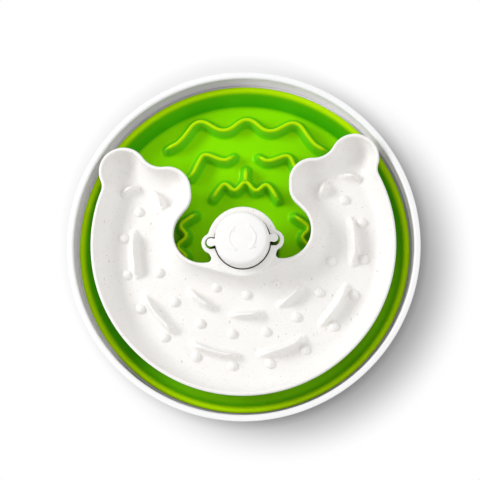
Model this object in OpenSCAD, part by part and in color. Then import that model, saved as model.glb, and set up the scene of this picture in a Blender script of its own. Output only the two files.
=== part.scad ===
// Slow feeder bowl: outer bowl on four rubber feet, a lift-out ridged insert,
// a C-shaped feeding tray that spins on the insert's hub, and a quarter-turn knob.
// Millimetres. +Z is up, and the origin lies under the feet at the middle of the bowl.

/* [Bowl] */
// Diameter of the bowl over its rim
bowl_w = 250; // [225:1:290]
// Height of the rim above the table
bowl_h = 58; // [54:1:70]
// Wall thickness of the bowl
bowl_wall = 2.6; // [2:0.1:3.4]
// Width of the thick rounded band along the rim
rim_band_w = 3.7; // [3:0.1:5]
// Height of the rim band on the inside
rim_band_h = 5; // [3:0.5:8]
// Draft of the bowl's side wall, in degrees
bowl_draft = 8; // [5:0.5:10]
// Outer radius of the corner between side wall and base
bowl_corner_r = 30; // [20:1:34]
// Thickness of the base
base_t = 3.2; // [2.8:0.1:4.5]

/* [Feet] */
// Diameter of a rubber foot
foot_w = 16; // [12:0.5:18]
// Thickness of a rubber foot
foot_t = 3; // [2.4:0.1:3.4]
// How far a foot stands out of the base
foot_proud = 1.5; // [1:0.1:1.8]
// Gap round a foot in its recess
foot_gap = 0.05; // [0.02:0.01:0.15]

/* [Insert] */
// Drop of the insert's rim below the bowl's rim
insert_drop = 16; // [13:0.5:18]
// Gap between the insert's rim and the bowl's wall
insert_gap = 1.5; // [0.8:0.1:2]
// Depth of the insert's dish below its own rim
insert_depth = 12; // [10.5:0.5:13]
// Wall thickness of the insert
insert_wall = 2.2; // [1.8:0.1:2.6]
// Width of the bead round the insert's rim
bead_w = 4.1; // [3.6:0.1:5]
// Plan width of the sloping side wall of the dish
dish_slope_w = 9.6; // [8:0.2:12]
// Height of the ridges above the dish
ridge_h = 11; // [8:0.5:11.5]
// Width of a ridge along its crest
ridge_crest_w = 2.4; // [1.8:0.1:3]
// Draft of a ridge's sides, in degrees
ridge_draft = 14; // [8:1:16]

/* [Tray] */
// Gap between the tray's tips and the bowl's rim
tray_gap = 4.9; // [3.5:0.1:7]
// Reach of the tips beyond the round edge of the tray
tip_reach = 8.9; // [6:0.1:10]
// Height of the tray's rim above the bowl's rim
tray_rise = 6; // [5:0.5:9]
// Depth from the tray's rim to its floor
tray_depth = 17.8; // [15:0.2:18.6]
// Thickness of the tray's floor
tray_floor_t = 2.2; // [1.8:0.1:2.4]
// Width of the tray's rounded rim
tray_rim_w = 2.6; // [2:0.1:3.2]
// Plan width of the rounded cove inside the rim
cove_w = 13; // [9:0.5:13]
// Height of that cove
cove_h = 14.5; // [10:0.5:14.8]
// Height of the crescent fins above the floor
fin_h = 8.5; // [5:0.5:10]
// Width of a fin along its crest
fin_crest_w = 2; // [1.4:0.1:2.6]
// Diameter of the round nubs
nub_w = 6.2; // [4:0.2:7]
// Height of the hub plate above the tray's rim
hub_rise = 2.5; // [1:0.5:4]
// Thickness of the hub plate
hub_t = 4.5; // [3.5:0.1:5.5]
// Width of the ring between the hub's hole and its edge
hub_ring_w = 4.8; // [4:0.1:6]
// Turn of the tray at rest, in degrees
tray_rest = 3; // [-10:1:10]

/* [Knob] */
// Diameter of the knob where it meets the hub plate
knob_w = 38.8; // [36:0.2:39.2]
// Height of the knob's top above the hub plate
knob_h = 15.5; // [13:0.5:18]
// Radius of the knob's top edge
knob_edge_r = 3.5; // [2:0.5:4.5]
// Wall thickness of the knob
knob_wall = 2.2; // [1.8:0.1:2.6]
// Radius of a locking ear
ear_r = 3.05; // [2.6:0.05:3.4]
// Thickness of a locking ear
ear_t = 3.2; // [2.6:0.1:4]
// Gap between an ear and its notch in the hub plate
ear_gap = 0.75; // [0.5:0.05:1]
// Turn of the knob at rest, in degrees
knob_rest = 4; // [0:1:8]

/* [Hub fits] */
// Gap between the knob and the edge of the hub plate's hole
knob_gap = 0.6; // [0.4:0.05:1.2]
// Running gap of the tray on its collar and of the knob in its bore
run_gap = 0.05; // [0.02:0.01:0.09]
// Gap between faces that slide on one another
face_gap = 0.1; // [0.05:0.01:0.2]
// Radius of the bore that the knob's spigot turns in
bore_r = 14.1; // [13.5:0.1:14.5]
// Depth of that bore
bore_l = 10; // [8:0.5:12]

/* [Hidden] */
$fn = 96;

// One overrun serves every cut that runs out of a face
over = 1;
// Number of rubber feet
foot_count = 4;
// Steps along a rounded profile, and the angle that one step of an outline covers
arc_steps = 8;
outline_step = 12;
cove_steps = 5;

// Levels, from the table up
rim_z = bowl_h;
insert_z = rim_z - insert_drop;
dish_z = insert_z - insert_depth;
tray_z = rim_z + tray_rise;
tray_floor_z = tray_z - tray_depth;
tray_under_z = tray_floor_z - tray_floor_t;
hub_z = tray_z + hub_rise;
hub_under_z = hub_z - hub_t;
shoulder_z = hub_under_z - face_gap;
knob_z = hub_z + knob_h;

// Bowl: the wall line leans out from a round corner up to the rim
rim_r = bowl_w / 2;
bowl_lean = tan(bowl_draft);
corner_z = foot_proud + bowl_corner_r;
corner_rise = bowl_corner_r * sin(bowl_draft);
corner_x = rim_r - (rim_z - corner_z + corner_rise) * bowl_lean - bowl_corner_r * cos(bowl_draft);
base_recess_h = 1;
base_recess_r = corner_x - foot_w - 2 * bowl_wall;
function wall_out(z) = rim_r - (rim_z - z) * bowl_lean;
function wall_in(z) = wall_out(z) - bowl_wall / cos(bowl_draft);
foot_ring_r = corner_x - foot_w / 2 - foot_gap;

// Ledge in the bowl that carries the insert's rim
bead_r = bead_w / 2;
bead_h = 3;
ledge_z = insert_z - bead_h - face_gap;
ledge_t = 1.2;
insert_r = wall_in(insert_z) - insert_gap;
insert_wall_r = insert_r - bead_w + insert_wall;
ledge_clear = 0.4;
ledge_r = insert_wall_r + ledge_clear;

// Dish of the insert
dish_top_r = insert_r - bead_w;
dish_r = dish_top_r - dish_slope_w;
dish_fillet_r = 4;

// Hub: the tray's hole clears the knob and turns on the insert's collar
knob_r = knob_w / 2;
hub_hole_r = knob_r + knob_gap;
collar_r = hub_hole_r - run_gap;

// Hub column that rises out of the dish
column_wall = 2;
column_core_r = 15.8;
column_r = column_core_r + column_wall;
column_fillet_r = 4;
shoulder_w = 1.7;
shoulder_r = collar_r + shoulder_w;
shoulder_t = 2.4;
collar_h = 2;
collar_z = shoulder_z + collar_h;
collar_chamfer = 0.5;
bore_z = collar_z - bore_l;
bore_step = column_core_r - bore_r;

// Tray plan: the round edge, then the circles that its outline runs round.
// Each row gives x, y and radius as shares of the round edge's radius.
tray_r = rim_r - rim_band_w - tray_gap - tip_reach;
tip_shares = [0.767, 0.521, 0.160];
lobe_top_shares = [0.480, 0.381, 0.1545];
lobe_low_shares = [0.470, 0.342, 0.147];
notch_shares = [0.2595, 0.070, 0.1916];
tip_blend_share = 0.093;
valley_share = 0.149;
hub_r = hub_hole_r + hub_ring_w;
hub_edge_r = 1.2;
notch_blend_r = 2;
ear_x = hub_hole_r + 2 * run_gap + ear_r * 0.62;
notch_r = ear_r + ear_gap;
bump_r = notch_r + 0.66 * hub_ring_w;
shell_w = min(tray_rim_w + cove_w, tray_r * lobe_low_shares[2] - run_gap);
cove_in_w = shell_w - tray_rim_w;
floor_sink = 0.3;
nub_facets = 20;

// Rings of nubs: radius as a share of the tray's, number of nubs and their spacing in degrees
nub_ring_shares = [0.800, 0.591, 0.329];
nub_ring_counts = [12, 8, 3];
nub_ring_pitch = [18, 22.5, 37];
lobe_nub_shares = [0.688, 0.269];

// Rings of fins: radius share, number, spacing and half the angle that each fin spans
fin_ring_shares = [0.733, 0.465];
fin_ring_counts = [6, 3];
fin_ring_pitch = [36, 40];
fin_ring_half = [11.6, 11.4];
lobe_fin_share = 0.161;
lobe_fin_spans = [[52, 90], [132, 170]];
fin_draft = 11;

// Ridges of one quarter of the dish, right half, as shares of the dish's radius
zig_shares = [[0, 0.924], [0.156, 0.838], [0.324, 0.898], [0.407, 0.832], [0.453, 0.756], [0.547, 0.697]];
hook_shares = [[0.099, 0.648], [0.156, 0.632], [0.267, 0.673], [0.324, 0.615], [0.353, 0.54], [0.381, 0.508]];
crown_shares = [[0, 0.472], [0.068, 0.4125], [0.140, 0.453], [0.231, 0.356]];
stem_share = [0, 0.573];
quarters = 4;
ridge_sink = insert_wall / 2;
bend_share = 0.36;

// Knob
knob_draft = 2;
knob_top_r = knob_r - knob_h * tan(knob_draft);
knob_skirt_z = collar_z + face_gap;
knob_crown = 0.6;
ear_z = hub_z + 4 * face_gap;
ear_chamfer = 0.6;
ear_neck_w = 1.7 * ear_r;
spigot_r = bore_r - run_gap;
spigot_wall = 2;
snap_out = 0.8;
snap_gap = 0.35;
snap_h = 2.4;
snap_z = bore_z - snap_gap;
spigot_z = snap_z - snap_out - snap_h;
slit_w = 2.4;
slit_z = bore_z + 3 * snap_h;
slit_count = 4;

// Places on a circle, from angle a to angle b in n steps
function arc(c, r, a, b, n) = [for (i = [0:n]) c + r * [cos(a + (b - a) * i / n), sin(a + (b - a) * i / n)]];

// A closed outline that runs like a belt round a chain of circles [x, y, radius, turn].
// Turn is 1 where the outline bulges out and -1 where it is hollow. The outline is
// drawn a distance d inside the belt, with the same number of points for every d.
function clamp1(v) = max(-1, min(1, v));
function signed_r(c) = c[2] * c[3];
function heading(a, b) =
    let (dx = b[0] - a[0], dy = b[1] - a[1])
    atan2(dy, dx) + asin(clamp1((signed_r(a) - signed_r(b)) / norm([dx, dy])));
function wrap(a) = a - 360 * floor(a / 360);
function belt_bend(a, b, c) =
    let (f0 = heading(a, b), f1 = heading(b, c))
    b[3] > 0 ? [f0, wrap(f1 - f0)] : [f0, -wrap(f0 - f1)];
function belt(chain, d = 0) =
    let (n = len(chain))
    [for (i = [0:n - 1])
        let (b = chain[i], bend = belt_bend(chain[(i + n - 1) % n], b, chain[(i + 1) % n]))
        let (steps = max(2, ceil(abs(bend[1]) / outline_step)))
        for (k = [0:steps - 1])
            let (f = bend[0] + bend[1] * (k + 0.5) / steps)
            [b[0] + (signed_r(b) - d) * sin(f), b[1] - (signed_r(b) - d) * cos(f)]];

// Centre of the circle of radius r that touches circles a and b from outside, on their left
function nestle(a, b, r) =
    let (v = [b[0] - a[0], b[1] - a[1]], d = norm(v), ra = a[2] + r, rb = b[2] + r)
    let (u = (ra * ra - rb * rb + d * d) / (2 * d), h = sqrt(ra * ra - u * u))
    [a[0] + (u * v[0] - h * v[1]) / d, a[1] + (u * v[1] + h * v[0]) / d, r, -1];

function round_at(shares, turn) = [shares[0] * tray_r, shares[1] * tray_r, shares[2] * tray_r, turn];
function mirror_x(c) = [-c[0], c[1], c[2], c[3]];

edge_circle = [0, 0, tray_r, 1];
tip_circle = round_at(tip_shares, 1);
lobe_top_circle = round_at(lobe_top_shares, 1);
lobe_low_circle = round_at(lobe_low_shares, 1);
notch_circle = round_at(notch_shares, -1);
tip_blend_circle = nestle(tip_circle, edge_circle, tip_blend_share * tray_r);
valley_circle = nestle(lobe_top_circle, tip_circle, valley_share * tray_r);
hub_side_circle = [0, 0, hub_r - tray_rim_w, -1];
right_side = [tip_blend_circle, tip_circle, valley_circle, lobe_top_circle, lobe_low_circle, notch_circle];
left_side = [for (i = [len(right_side) - 1:-1:0]) mirror_x(right_side[i])];
tray_chain = concat([edge_circle], right_side, [hub_side_circle], left_side);

// Rings of points [inset, height] over the tray's shell: under the floor, up the outside,
// over the rounded rim and down the cove to the floor
shell_top_z = tray_floor_z + cove_h;
rim_half_w = tray_rim_w / 2;
shell_rings = concat(
    [for (i = [0:cove_steps]) let (a = 90 - 90 * i / cove_steps)
        [shell_w * (1 - cos(a)), shell_top_z - (cove_h + tray_floor_t) * sin(a)]],
    [for (i = [0:4]) let (a = 180 - 45 * i)
        [rim_half_w * (1 + cos(a)), tray_z - rim_half_w + rim_half_w * sin(a)]],
    [for (i = [0:cove_steps]) let (a = 90 * i / cove_steps)
        [tray_rim_w + cove_in_w * (1 - cos(a)), shell_top_z - cove_h * sin(a)]]);

// Skin over a stack of closed rings, each of n points that run anticlockwise from above
module skin(rings) {
    m = len(rings);
    n = len(rings[0]);
    points = [for (r = rings) for (p = r) p];
    sides = [for (j = [0:m - 2]) for (i = [0:n - 1]) let (k = (i + 1) % n)
        for (t = [[j * n + i, j * n + n + i, j * n + n + k], [j * n + i, j * n + n + k, j * n + k]]) t];
    foot_face = [for (i = [0:n - 1]) i];
    head_face = [for (i = [n - 1:-1:0]) (m - 1) * n + i];
    polyhedron(points, concat([foot_face], sides, [head_face]));
}

// Outline a distance d from a line that branches. The legs go round the line, each one
// drawn along its right side and closed by a round cap where it ends.
cap_steps = 4;
function unit(v) = v / norm(v);
function right_of(v) = [v[1], -v[0]];
function mitre(leg, i) =
    let (last = len(leg) - 1)
    let (a = unit(leg[max(1, i)] - leg[max(1, i) - 1]))
    let (b = unit(leg[min(last, i + 1)] - leg[min(last, i + 1) - 1]))
    let (m = unit(a + b))
    right_of(m) / max(0.5, m * a);
function leg_side(leg, d) = [for (i = [0:len(leg) - 1]) leg[i] + d * mitre(leg, i)];
function leg_cap(leg, d) =
    let (last = len(leg) - 1, v = leg[last] - leg[last - 1])
    let (a = atan2(v[1], v[0]))
    arc(leg[last], d, a - 90 + 180 / cap_steps, a + 90 - 180 / cap_steps, cap_steps - 2);
function round_legs(legs, d) = [for (leg = legs) for (p = concat(leg_side(leg, d), leg_cap(leg, d))) p];
function turned(path) = [for (i = [len(path) - 1:-1:0]) path[i]];
// A path with each inner corner cut to a short curve
function ease(path) =
    let (last = len(path) - 1)
    concat([path[0]],
        [for (i = [1:last - 1]) for (u = [0, 0.5, 1])
            let (p = path[i] + bend_share * (path[i - 1] - path[i]))
            let (q = path[i] + bend_share * (path[i + 1] - path[i]))
            (1 - u) * (1 - u) * p + 2 * u * (1 - u) * path[i] + u * u * q],
        [path[last]]);

// A drafted ridge of height h with a soft crest along its legs, with its foot at zero
module ridge(legs, h, crest_w, draft) {
    c = crest_w / 2;
    rows = concat([[c + (h - c) * tan(draft), 0]], [for (a = [10, 60]) [c * cos(a), h - c + c * sin(a)]]);
    skin([for (row = rows) [for (p = round_legs(legs, row[0])) [p[0], p[1], row[1]]]]);
}

module bowl() {
    ledge_in = wall_in(ledge_z);
    ledge_foot_z = ledge_z - ledge_t - (ledge_in - ledge_r);
    rim_c = [rim_r - rim_band_w / 2, rim_z - rim_band_w / 2];
    band_z = rim_z - rim_band_h;
    profile = concat(
        [[0, foot_proud + base_recess_h], [base_recess_r, foot_proud + base_recess_h]],
        [[base_recess_r + base_recess_h, foot_proud]],
        arc([corner_x, corner_z], bowl_corner_r, -90, -bowl_draft, arc_steps),
        arc(rim_c, rim_band_w / 2, -bowl_draft, 180, arc_steps),
        [[rim_r - rim_band_w, band_z], [wall_in(band_z - rim_band_w / 2), band_z - rim_band_w / 2]],
        [[ledge_in, ledge_z], [ledge_r, ledge_z]],
        [[ledge_r, ledge_z - ledge_t], [wall_in(ledge_foot_z), ledge_foot_z]],
        arc([corner_x, corner_z], bowl_corner_r - bowl_wall, -bowl_draft, -80, arc_steps),
        [[corner_x, foot_proud + base_t], [0, foot_proud + base_t]]);
    color("white")
    difference() {
        rotate_extrude() polygon(profile);
        for (i = [0:foot_count - 1]) foot_place(i) translate([0, 0, foot_proud - over])
            cylinder(h = over + foot_t - foot_proud, r = foot_w / 2 + foot_gap);
    }
}

module foot_place(i) {
    rotate([0, 0, 45 + 360 * i / foot_count]) translate([foot_ring_r, 0, 0]) children();
}

module foot(i) {
    edge = foot_proud / 2;
    r = foot_w / 2;
    color("lightgray")
    foot_place(i)
    rotate_extrude()
    polygon(concat([[0, 0]], arc([r - edge, edge], edge, -90, 0, 4), [[r, foot_t], [0, foot_t]]));
}

module insert() {
    dish_foot = [dish_r, dish_z];
    lean = [dish_slope_w, insert_depth - bead_r];
    slope_a = atan2(lean[1], lean[0]);
    toe = dish_fillet_r * tan(slope_a / 2);
    under_r = dish_r + insert_wall * tan(slope_a / 2);
    profile = concat(
        [[column_core_r, dish_z - insert_wall], [under_r, dish_z - insert_wall]],
        [[insert_wall_r, insert_z - bead_h - insert_wall], [insert_wall_r, insert_z - bead_h]],
        [[insert_r, insert_z - bead_h]],
        arc([insert_r - bead_r, insert_z - bead_r], bead_r, 0, 180, arc_steps),
        arc([dish_r - toe, dish_z + dish_fillet_r], dish_fillet_r, slope_a - 90, -90, 4),
        arc([column_r + column_fillet_r, dish_z + column_fillet_r], column_fillet_r, -90, -180, 4),
        [[column_r, shoulder_z - shoulder_t - (shoulder_r - column_r)]],
        [[shoulder_r, shoulder_z - shoulder_t]],
        [[shoulder_r, shoulder_z], [collar_r, shoulder_z], [collar_r, collar_z - collar_chamfer]],
        [[collar_r - collar_chamfer, collar_z], [bore_r, collar_z], [bore_r, bore_z]],
        [[column_core_r, bore_z - bore_step]]);
    color("limegreen") {
        rotate_extrude() polygon(profile);
        // Set to full height together, with their feet sunk into the dish
        translate([0, 0, dish_z - ridge_sink]) resize([0, 0, ridge_h + ridge_sink])
            for (q = [0:quarters - 1]) rotate([0, 0, 360 * q / quarters]) quarter_ridges();
    }
}

module dish_ridge(share_legs) {
    legs = [for (leg = share_legs) dish_r * leg];
    ridge(legs, ridge_h + ridge_sink, ridge_crest_w, ridge_draft);
}

function flipped(path) = [for (p = path) [-p[0], p[1]]];
function whole(half) = concat(turned(flipped([for (i = [1:len(half) - 1]) half[i]])), half);

module quarter_ridges() {
    zig = ease(whole(zig_shares));
    hook = ease(hook_shares);
    crown = ease(whole(crown_shares));
    crown_half = [for (i = [(len(crown) + 1) / 2:len(crown) - 1]) crown[i]];
    peak = [crown[(len(crown) - 1) / 2]];
    dish_ridge([zig, turned(zig)]);
    dish_ridge([hook, turned(hook)]);
    dish_ridge([flipped(hook), turned(flipped(hook))]);
    down_right = concat([stem_share], peak, flipped(crown_half));
    dish_ridge([crown, concat(turned(crown_half), peak, [stem_share]), down_right]);
}

module tray() {
    color("whitesmoke")
    rotate([0, 0, tray_rest])
    difference() {
        union() {
            // The dish is set to its full height as one shape
            translate([0, 0, tray_under_z]) resize([0, 0, tray_z - tray_under_z]) {
                skin([for (row = shell_rings)
                    [for (p = belt(tray_chain, row[0])) [p[0], p[1], row[1] - tray_under_z]]]);
                tray_floor();
            }
            hub_plate();
        }
        translate([0, 0, hub_under_z - over]) cylinder(h = hub_t + 2 * over, r = hub_hole_r);
        for (side = [-1, 1]) translate([side * ear_x, 0, hub_under_z - over])
            cylinder(h = hub_t + 2 * over, r = notch_r);
    }
}

// Round plate with a soft upper edge, as used for the hub and for its two bumps
module soft_disc(r) {
    edge_c = [r - hub_edge_r, hub_z - hub_edge_r];
    rotate_extrude()
    polygon(concat([[0, hub_under_z], [r, hub_under_z]], arc(edge_c, hub_edge_r, 0, 90, 4), [[0, hub_z]]));
}

module hub_plate() {
    soft_disc(hub_r);
    for (side = [-1, 1]) translate([side * ear_x, 0, 0]) soft_disc(bump_r);
    for (side = [0, 1]) mirror([side, 0, 0]) hub_web();
}

// Web that fills the corner between the hub, the tray's shell and the open notch
module hub_web() {
    n = [notch_circle[0], notch_circle[1]];
    nr = notch_circle[2];
    f = heading(notch_circle, hub_side_circle);
    shell_end = [n[0] - nr * sin(f), n[1] + nr * cos(f)];
    hub_end = hub_side_circle[2] * [-sin(f), cos(f)];
    inset = rim_half_w * unit(right_of(hub_end - shell_end));
    translate([0, 0, hub_under_z])
    linear_extrude(tray_z - hub_under_z - run_gap)
    difference() {
        polygon([[0, 0], hub_end - inset, shell_end - inset]);
        translate(n) circle(r = nr);
    }
}

// Nubs and fins, sunk a little into the floor
module tray_floor() {
    translate([0, 0, tray_floor_t - floor_sink]) {
        tray_nubs();
        tray_fins();
    }
}

module tray_nubs() {
    for (k = [0:len(nub_ring_counts) - 1]) {
        count = nub_ring_counts[k];
        for (i = [0:count - 1]) {
            a = -90 + nub_ring_pitch[k] * (i - (count - 1) / 2);
            nub(nub_ring_shares[k] * tray_r * [cos(a), sin(a)]);
        }
    }
    for (side = [-1, 1]) nub(tray_r * [side * lobe_nub_shares[0], lobe_nub_shares[1]]);
}

module nub(p) {
    translate([p[0], p[1], 0])
        rotate_extrude($fn = nub_facets) polygon(concat([[0, 0]], arc([0, 0], nub_w / 2, 0, 90, 3)));
}

module tray_fins() {
    for (k = [0:len(fin_ring_counts) - 1]) {
        count = fin_ring_counts[k];
        for (i = [0:count - 1]) {
            a = -90 + fin_ring_pitch[k] * (i - (count - 1) / 2);
            fin([0, 0], fin_ring_shares[k] * tray_r, a - fin_ring_half[k], a + fin_ring_half[k]);
        }
    }
    for (side = [0, 1]) mirror([side, 0, 0])
        for (span = lobe_fin_spans) fin(tray_r * lobe_nub_shares, lobe_fin_share * tray_r, span[0], span[1]);
}

module fin(c, r, a, b) {
    line = arc(c, r, a, b, 6);
    ridge([line, turned(line)], fin_h + floor_sink, fin_crest_w, fin_draft);
}

module knob() {
    top_c = [knob_top_r - knob_edge_r, knob_z - knob_crown - knob_edge_r];
    roof_z = knob_z - knob_crown - knob_wall;
    spigot_in = spigot_r - spigot_wall;
    profile = concat(
        [[0, roof_z], [0, knob_z], [top_c[0] / 2, knob_z - knob_crown / 4]],
        arc(top_c, knob_edge_r, 84, knob_draft, arc_steps),
        [[knob_r, knob_skirt_z], [knob_r - knob_wall, knob_skirt_z], [knob_r - knob_wall, roof_z]],
        [[spigot_r, roof_z], [spigot_r, snap_z], [spigot_r + snap_out, snap_z - snap_out]],
        [[spigot_r + snap_out, snap_z - 2 * snap_out]],
        [[spigot_r - spigot_wall / 4, spigot_z], [spigot_in, spigot_z], [spigot_in, roof_z]]);
    color("white")
    rotate([0, 0, knob_rest])
    union() {
        difference() {
            rotate_extrude() polygon(profile);
            for (i = [0:slit_count - 1]) rotate([0, 0, 45 + 360 * i / slit_count])
                translate([0, -slit_w / 2, spigot_z - over])
                cube([column_core_r, slit_w, slit_z - spigot_z + over]);
        }
        for (side = [-1, 1]) ear(side);
    }
}

module ear(side) {
    neck_x = knob_r - knob_wall / 2;
    translate([side * ear_x, 0, ear_z]) {
        cylinder(h = ear_t - ear_chamfer, r = ear_r);
        translate([0, 0, ear_t - ear_chamfer])
        cylinder(h = ear_chamfer, r1 = ear_r, r2 = ear_r - ear_chamfer);
    }
    translate([min(side * neck_x, side * ear_x), -ear_neck_w / 2, ear_z])
    cube([ear_x - neck_x, ear_neck_w, ear_t - ear_chamfer]);
}

bowl();
foot(0);  // foot_1
foot(1);  // foot_2
foot(2);  // foot_3
foot(3);  // foot_4
insert();
tray();
knob();
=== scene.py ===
# A round slow feeder bowl seen from above: white bowl, lime dish with zigzag ridges,
# speckled C-shaped tray with nubs and fins, and a quarter-turn knob.
from math import asin, atan2, ceil, cos, degrees, hypot, pi, radians, sin, sqrt, tan

import bmesh
import bpy
import numpy as np
from mathutils import Matrix, Vector


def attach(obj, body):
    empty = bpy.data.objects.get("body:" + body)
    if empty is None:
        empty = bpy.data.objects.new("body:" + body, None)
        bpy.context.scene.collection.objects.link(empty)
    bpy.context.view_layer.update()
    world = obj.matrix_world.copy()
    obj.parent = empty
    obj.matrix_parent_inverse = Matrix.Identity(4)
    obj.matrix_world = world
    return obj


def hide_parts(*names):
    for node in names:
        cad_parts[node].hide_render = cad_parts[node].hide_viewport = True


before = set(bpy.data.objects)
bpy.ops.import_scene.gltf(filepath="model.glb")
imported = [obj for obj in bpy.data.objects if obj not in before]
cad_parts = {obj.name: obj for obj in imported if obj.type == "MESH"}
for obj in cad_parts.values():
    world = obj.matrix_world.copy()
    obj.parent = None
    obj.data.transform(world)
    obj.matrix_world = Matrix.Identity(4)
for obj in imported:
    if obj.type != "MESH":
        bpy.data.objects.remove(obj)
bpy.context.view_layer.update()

MM = 0.001

# Camera: above the bowl, leaning a little towards the near side and the right
LOOK_AT = (-1.9, 1.3, 64)
CAMERA_DISTANCE = 1000
CAMERA_LEAN = 9.5
CAMERA_SIDE = 2.2
LENS, SENSOR_W = 106.8, 36


def place_camera():
    data = bpy.data.cameras.new("camera")
    data.lens = LENS
    data.sensor_width = SENSOR_W
    camera = bpy.data.objects.new("camera", data)
    bpy.context.scene.collection.objects.link(camera)
    away = Vector((sin(radians(CAMERA_SIDE)), -sin(radians(CAMERA_LEAN)), 0))
    away.z = sqrt(1 - away.x ** 2 - away.y ** 2)
    target = Vector(LOOK_AT)
    camera.location = (target + CAMERA_DISTANCE * away) * MM
    right = Vector((0, 1, 0)).cross(away).normalized()
    camera.rotation_euler = Matrix((right, away.cross(right), away)).transposed().to_euler()
    bpy.context.scene.camera = camera


place_camera()

# Sizes in millimetres and angles in degrees. All but the dish's turn are the CAD model's own.
RIM_R, RIM_Z, RIM_BAND_W, RIM_BAND_H = 125, 58, 3.7, 5
BOWL_WALL, BOWL_DRAFT, BOWL_CORNER_R, BASE_T = 2.6, 8, 30, 3.2
FOOT_W, FOOT_T, FOOT_PROUD, FOOT_GAP = 16, 3, 1.5, 0.05
INSERT_Z, DISH_Z, INSERT_WALL, BEAD_W, BEAD_H = 42, 30, 2.2, 4.1, 3
INSERT_GAP, DISH_SLOPE_W, DISH_FILLET_R = 1.5, 9.6, 4
RIDGE_H, RIDGE_CREST_W, RIDGE_DRAFT = 11, 2.4, 14
TRAY_R, TRAY_Z, TRAY_DEPTH, TRAY_FLOOR_T = 107.5, 64, 17.8, 2.2
TRAY_RIM_W, COVE_W, COVE_H = 2.6, 13, 14.5
FIN_H, FIN_CREST_W, FIN_DRAFT = 8.5, 2, 11
NUB_W, NUB_H = 6.2, 2.8
HUB_Z, HUB_T, HUB_RING_W, HUB_EDGE_R = 66.5, 4.5, 4.8, 1.2
COLLAR_R, BORE_R, RUN_GAP, FACE_GAP = 19.95, 14.1, 0.05, 0.1
KNOB_R, KNOB_Z, KNOB_EDGE_R, KNOB_WALL = 19.4, 82, 3.5, 2.2
EAR_R, EAR_T, EAR_GAP, EAR_SHARE_OUT = 3.05, 3.2, 0.75, 0.62
TRAY_REST, KNOB_REST, DISH_REST = 3, 4, -1.4


def wall_out(z):
    return RIM_R - (RIM_Z - z) * tan(radians(BOWL_DRAFT))


def wall_in(z):
    return wall_out(z) - BOWL_WALL / cos(radians(BOWL_DRAFT))


CORNER_Z = FOOT_PROUD + BOWL_CORNER_R
CORNER_TOP_Z = CORNER_Z - BOWL_CORNER_R * sin(radians(BOWL_DRAFT))
CORNER_X = wall_out(CORNER_TOP_Z) - BOWL_CORNER_R * cos(radians(BOWL_DRAFT))
INSERT_R = wall_in(INSERT_Z) - INSERT_GAP
DISH_TOP_R = INSERT_R - BEAD_W
INSERT_WALL_R = DISH_TOP_R + INSERT_WALL
DISH_R = DISH_TOP_R - DISH_SLOPE_W
HUB_HOLE_R = COLLAR_R + RUN_GAP
EAR_X = HUB_HOLE_R + 2 * RUN_GAP + EAR_R * EAR_SHARE_OUT


# Outlines

BELT_STEP, BELT_SPACING = 3, 1.6


def arc(cx, cy, r, a, b, n):
    """Points on a circle from angle a to angle b, in degrees."""
    return [(cx + r * cos(radians(a + (b - a) * i / n)), cy + r * sin(radians(a + (b - a) * i / n)))
            for i in range(n + 1)]


def heading(a, b):
    """The direction of the line that runs from circle a to circle b, in degrees."""
    dx, dy = b[0] - a[0], b[1] - a[1]
    lean = (a[2] * a[3] - b[2] * b[3]) / hypot(dx, dy)
    return degrees(atan2(dy, dx) + asin(max(-1, min(1, lean))))


def belt(chain, inset):
    """A closed outline round a chain of circles [x, y, radius, turn], drawn some way inside it."""
    points = []
    for i, (x, y, r, turn) in enumerate(chain):
        f0 = heading(chain[i - 1], chain[i])
        f1 = heading(chain[i], chain[(i + 1) % len(chain)])
        bend = (f1 - f0) % 360 if turn > 0 else -((f0 - f1) % 360)
        steps = max(3, ceil(abs(bend) / BELT_STEP), ceil(abs(radians(bend)) * r / BELT_SPACING))
        for k in range(steps):
            f = radians(f0 + bend * (k + 0.5) / steps)
            points.append((x + (r * turn - inset) * sin(f), y - (r * turn - inset) * cos(f)))
    return points


def nestle(a, b, r):
    """The circle of radius r that touches circles a and b from outside, on their left."""
    vx, vy = b[0] - a[0], b[1] - a[1]
    d, ra, rb = hypot(vx, vy), a[2] + r, b[2] + r
    u = (ra * ra - rb * rb + d * d) / (2 * d)
    h = sqrt(ra * ra - u * u)
    return (a[0] + (u * vx - h * vy) / d, a[1] + (u * vy + h * vx) / d, r, -1)


# Mesh building

TURN_STEPS, SMALL_TURN_STEPS, NUB_TURN_STEPS = 240, 48, 32
ON_AXIS = 1e-6


def build(name, parts, finish, sharp=35):
    """One mesh from (points, faces) parts in millimetres, with its edges sharp past an angle."""
    bm = bmesh.new()
    for points, faces in parts:
        made = [bm.verts.new((p[0] * MM, p[1] * MM, p[2] * MM)) for p in points]
        for face in faces:
            bm.faces.new([made[i] for i in face])
    mesh = bpy.data.meshes.new(name)
    for face in bm.faces:
        face.smooth = True
    bm.normal_update()
    for edge in bm.edges:
        if len(edge.link_faces) == 2:
            edge.smooth = edge.calc_face_angle() < radians(sharp)
    bm.to_mesh(mesh)
    bm.free()
    mesh.materials.append(finish)
    piece = bpy.data.objects.new(name, mesh)
    bpy.context.scene.collection.objects.link(piece)
    return piece


def turned(points, angle):
    c, s = cos(radians(angle)), sin(radians(angle))
    return [(c * p[0] - s * p[1], s * p[0] + c * p[1], p[2]) for p in points]


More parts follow.
